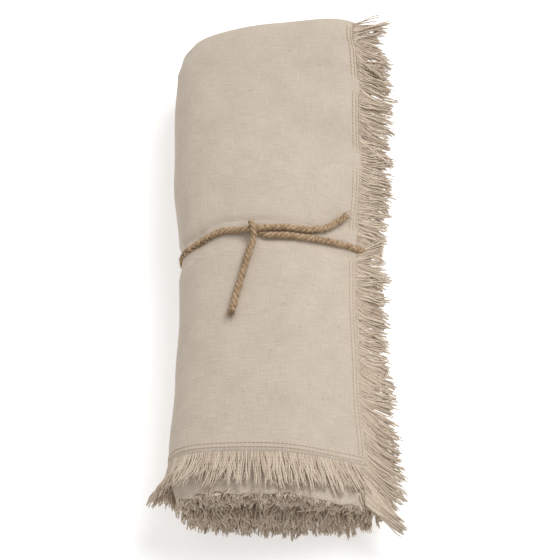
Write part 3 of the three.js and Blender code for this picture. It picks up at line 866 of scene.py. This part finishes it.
yarn_rng = np.random.default_rng(21)
core_deg = float(winding_stations()[-1])
outer_end_deg = FREE_END_DEG + 350
open_rows = [
    open_end_yarns(FREE_EDGE_DEG + 1, outer_end_deg, "a", 0.85, 4.6, 0.05, yarn_rng),
    open_end_yarns(FREE_EDGE_DEG + 1, outer_end_deg, "b", 1.0, 6.0, 0.1, yarn_rng),
]
inner_rows = [
    open_end_yarns(outer_end_deg + 4, core_deg - 10, "a", 1.35, 7.0, 0.7, yarn_rng),
    open_end_yarns(outer_end_deg + 4, core_deg - 10, "b", 1.65, 7.0, 0.8, yarn_rng),
]
end_rows = [free_end_yarns(layer, yarn_rng) for layer in "abcd"]
fringe_open = make_fringe("fringe_outer_turn", open_rows, 0.53, ["fringe_open_end"], 31)
fringe_inner = make_fringe("fringe_inner_turns", inner_rows, 0.62, [], 32)
fringe_end = make_fringe("fringe_free_edge", end_rows, 0.5, ["fringe_free_end"], 33)


# Stitching: two rows of ochre stitches a little in from each fringed edge

STITCH_ROWS_IN = ((8.6, 7.2), (5.6, 4.6))
STITCH_LENGTH = 2.3
STITCH_PITCH = 2.8
STITCH_RADIUS = 0.30


def stitch_paths(points):
    run = np.concatenate([[0], np.cumsum(np.linalg.norm(np.diff(points, axis=0), axis=1))])
    starts = np.arange(1, run[-1] - STITCH_PITCH, STITCH_PITCH)
    at = starts[:, None] + np.linspace(0, STITCH_LENGTH, 4)[None]
    return np.stack([np.interp(at, run, points[:, k]) for k in range(3)], -1)


def make_stitches():
    degs = np.arange(FREE_END_DEG, FREE_END_DEG + 340, 1.0)
    on_face = LAYER_DEPTH["a"] - CLOTH_THICKNESS / 2 - 0.15
    end_strip = place(FREE_END_DEG, HALF_HEIGHT, 0) - place(FREE_EDGE_DEG, HALF_HEIGHT, 0)
    end_span = float(np.linalg.norm(end_strip))
    rows = []
    for from_hem, from_end in STITCH_ROWS_IN:
        rows.append(place(degs, outer_level(degs) - on_face, hem_at(degs) + from_hem))
        ys = np.arange(OPEN_END[0][1] + from_hem, FAR_FOLD_Y - 2, 2.0)
        edge_deg = FREE_EDGE_DEG + from_end * (FREE_END_DEG - FREE_EDGE_DEG) / end_span
        rows.append(place(edge_deg, outer_level(edge_deg) - on_face, ys))
    paths = np.concatenate([stitch_paths(row) for row in rows])
    paths[..., 2] = np.maximum(paths[..., 2], STITCH_RADIUS + 0.05)
    arch = np.array([0.4, 1.0, 1.0, 0.4])
    points, quads, uv, caps = tubes(paths, STITCH_RADIUS * np.repeat(arch[None], len(paths), 0), 5)
    stitches = make_mesh("hem_stitches", points, quads, uv, None, THREAD, caps)
    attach(stitches, "root")
    return stitches


stitches = make_stitches()


# Floor and light

def make_floor():
    size = 6.0
    corners = [(-size, -size, 0), (size, -size, 0), (size, size, 0), (-size, size, 0)]
    mesh = bpy.data.meshes.new("floor")
    mesh.from_pydata(corners, [], [(0, 1, 2, 3)])
    mesh.materials.append(floor_material())
    floor = bpy.data.objects.new("floor", mesh)
    bpy.context.scene.collection.objects.link(floor)


WORLD_STRENGTH = 0.50
WHITE = (1.0, 1.0, 1.0, 1.0)


def make_light(name, place_at, size, power):
    data = bpy.data.lights.new(name, "AREA")
    data.shape = "SQUARE"
    data.size = size
    data.energy = power
    light = bpy.data.objects.new(name, data)
    bpy.context.scene.collection.objects.link(light)
    light.location = place_at
    light.rotation_euler = (Vector((0, 0, 0.03)) - Vector(place_at)).to_track_quat("-Z", "Y").to_euler()


make_floor()
make_light("key", (1.0, 1.1, 2.0), 1.4, 40.0)
make_light("fill", (-1.0, -1.2, 2.0), 1.8, 5.0)
world = bpy.data.worlds.new("studio")
world.use_nodes = True
world.node_tree.nodes["Background"].inputs["Color"].default_value = WHITE
world.node_tree.nodes["Background"].inputs["Strength"].default_value = WORLD_STRENGTH
bpy.context.scene.world = world
bpy.context.scene.view_settings.view_transform = "Standard"
